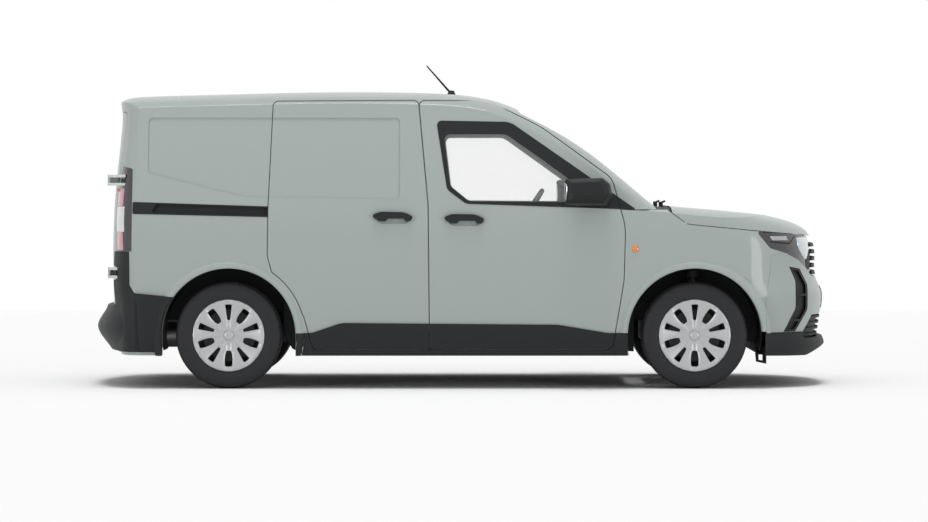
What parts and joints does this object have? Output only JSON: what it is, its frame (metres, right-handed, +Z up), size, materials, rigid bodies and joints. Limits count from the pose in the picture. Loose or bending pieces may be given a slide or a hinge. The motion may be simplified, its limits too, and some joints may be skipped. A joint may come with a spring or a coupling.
{
  "type": "panel van",
  "caption": "Compact panel van with a sliding side door, side-hinged rear doors, two front doors, a lifting bonnet, steered front wheels and slotted wheel covers.",
  "frame": {"origin": "on the ground, under the middle of the van", "axes": "+X to the front, +Y to the left side, +Z up"},
  "size_m": [4.3354, 2.092, 1.8952],
  "materials": {
    "body_paint": "pale grey-green gloss paint",
    "window_glass": "clear glass",
    "tyre": "black rubber",
    "wheel_silver": "silver paint",
    "lamp": "clear and dark plastic",
    "engine_metal": "cast alloy",
    "inner_metal": "primer and paint",
    "chassis_metal": "black coating",
    "seat_fabric": "woven dark grey cloth",
    "cab_plastic": "grained dark plastic",
    "black_plastic": "grained black plastic"
  },
  "bodies": {
    "root": {"antenna": "black_plastic", "arch_liners": "black_plastic", "bulkhead": "inner_metal", "bumper_vents": "black_plastic", "corner_trims": "black_plastic", "dashboard": "cab_plastic", "door_track": "black_plastic", "engine_block": "engine_metal", "exhaust": "chassis_metal", "floor_pan": "inner_metal", "front_bumper": "body_paint", "front_skirt": "black_plastic", "front_subframe": "chassis_metal", "front_wings": "body_paint", "fuel_tank": "black_plastic", "grille": "black_plastic", "headlamps": "lamp", "intake_grille": "black_plastic", "radiator": "chassis_metal", "rear_axle": "chassis_metal", "rear_bumper": "black_plastic", "rear_hinges": "chassis_metal", "roof": "body_paint", "scuttle": "black_plastic", "seat_driver": "seat_fabric", "seat_passenger": "seat_fabric", "side_mouldings": "black_plastic", "side_panel_left": "body_paint", "side_panel_right": "body_paint", "sliding_door": "body_paint", "sliding_door_trim": "black_plastic", "tail_lamps": "lamp", "windscreen": "window_glass", "wipers": "black_plastic"},
    "door_right": {"front_door_right": "body_paint", "door_glass_right": "window_glass", "door_trim_right": "black_plastic"},
    "door_left": {"front_door_left": "body_paint", "door_glass_left": "window_glass", "door_trim_left": "black_plastic"},
    "rear_leaf_right": {"rear_door_right": "body_paint"},
    "rear_leaf_left": {"rear_door_left": "body_paint"},
    "hood": {"bonnet": "body_paint"},
    "upright_right": {"knuckle_right": "chassis_metal"},
    "upright_left": {"knuckle_left": "chassis_metal"},
    "roller_front_right": {"tyre_front_right": "tyre", "wheel_front_right": "wheel_silver"},
    "roller_front_left": {"tyre_front_left": "tyre", "wheel_front_left": "wheel_silver"},
    "roller_rear_right": {"tyre_rear_right": "tyre", "wheel_rear_right": "wheel_silver"},
    "roller_rear_left": {"tyre_rear_left": "tyre", "wheel_rear_left": "wheel_silver"},
    "steering": {"steering_wheel": "cab_plastic"},
    "flap": {"fuel_flap": "body_paint"}
  },
  "joints": [
    {"name": "roll_front_right", "type": "hinge", "parent": "upright_right", "child": "roller_front_right", "pos_m": [1.351, -0.78, 0.3075], "axis": [0, 1, 0], "continuous": true},
    {"name": "roll_front_left", "type": "hinge", "parent": "upright_left", "child": "roller_front_left", "pos_m": [1.351, 0.78, 0.3075], "axis": [0, 1, 0], "continuous": true},
    {"name": "roll_rear_right", "type": "hinge", "parent": "root", "child": "roller_rear_right", "pos_m": [-1.342, -0.78, 0.3075], "axis": [0, 1, 0], "continuous": true},
    {"name": "roll_rear_left", "type": "hinge", "parent": "root", "child": "roller_rear_left", "pos_m": [-1.342, 0.78, 0.3075], "axis": [0, 1, 0], "continuous": true},
    {"name": "steer_right", "type": "hinge", "parent": "root", "child": "upright_right", "pos_m": [1.351, -0.745, 0.19], "axis": [0, 0.2521, 0.9677], "range_deg": [-35, 35]},
    {"name": "steer_left", "type": "hinge", "parent": "root", "child": "upright_left", "pos_m": [1.351, 0.745, 0.19], "axis": [0, -0.2521, 0.9677], "range_deg": [-35, 35]},
    {"name": "steering_turn", "type": "hinge", "parent": "root", "child": "steering", "pos_m": [0.398, 0.372, 0.99], "axis": [-0.848, 0, 0.53], "range_deg": [-491, 491]},
    {"name": "front_door_right_hinge", "type": "hinge", "parent": "root", "child": "door_right", "pos_m": [0.952, -0.898, 0.6], "axis": [0, 0, 1], "range_deg": [0, 70]},
    {"name": "front_door_left_hinge", "type": "hinge", "parent": "root", "child": "door_left", "pos_m": [0.952, 0.898, 0.6], "axis": [0, 0, -1], "range_deg": [0, 70]},
    {"name": "rear_door_right_hinge", "type": "hinge", "parent": "root", "child": "rear_leaf_right", "pos_m": [-2.042, -0.738, 0.9], "axis": [0, 0, 1], "range_deg": [0, 180]},
    {"name": "rear_door_left_hinge", "type": "hinge", "parent": "root", "child": "rear_leaf_left", "pos_m": [-2.042, 0.738, 0.9], "axis": [0, 0, -1], "range_deg": [0, 180]},
    {"name": "bonnet_hinge", "type": "hinge", "parent": "root", "child": "hood", "pos_m": [1.222, 0, 1.056], "axis": [0, -1, 0], "range_deg": [0, 50]},
    {"name": "fuel_flap_hinge", "type": "hinge", "parent": "root", "child": "flap", "pos_m": [-1.3925, 0.892, 0.8825], "axis": [0, 0, -1], "range_deg": [0, 80]}
  ],
  "couplings": [
    {"joint": "steer_left", "follows": "steer_right", "ratio": 1},
    {"joint": "steering_turn", "follows": "steer_right", "ratio": 14}
  ]
}
